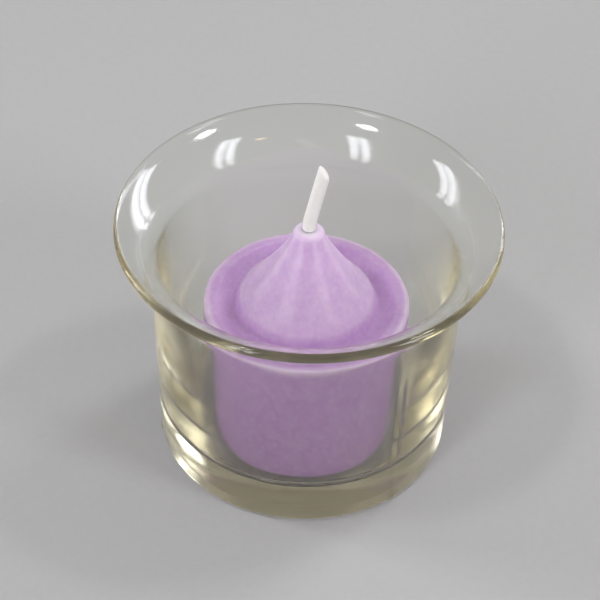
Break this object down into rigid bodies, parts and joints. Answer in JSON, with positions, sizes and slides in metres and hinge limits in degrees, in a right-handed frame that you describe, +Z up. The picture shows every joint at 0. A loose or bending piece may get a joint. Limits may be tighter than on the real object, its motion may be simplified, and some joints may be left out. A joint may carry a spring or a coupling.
{
  "type": "votive candle cup",
  "caption": "Clear flared glass cup with a thick base, holding a loose moulded votive candle with a fluted cone top and a stiff white wick.",
  "frame": {"origin": "centre of the cup's foot, on the surface the cup stands on", "axes": "+Z up out of the cup's mouth; -Y is the front, the side the loose candle stands nearer; the wick leans towards +X"},
  "size_m": [0.0706, 0.0706, 0.0649],
  "materials": {
    "cup_glass": "polished",
    "lavender_wax": "satin",
    "wick_cotton": "satin",
    "wick_paper": "matte",
    "tab_steel": "satin"
  },
  "bodies": {
    "cup": {"glass_cup": "cup_glass"},
    "candle": {"wax_candle": "lavender_wax", "wick_braid": "wick_cotton", "wick_core": "wick_paper", "wick_sustainer": "tab_steel"}
  },
  "joints": [
    {"name": "candle_lift", "type": "slide", "parent": "cup", "child": "candle", "axis": [0, 0, 1], "range_m": [0, 0.05]}
  ]
}
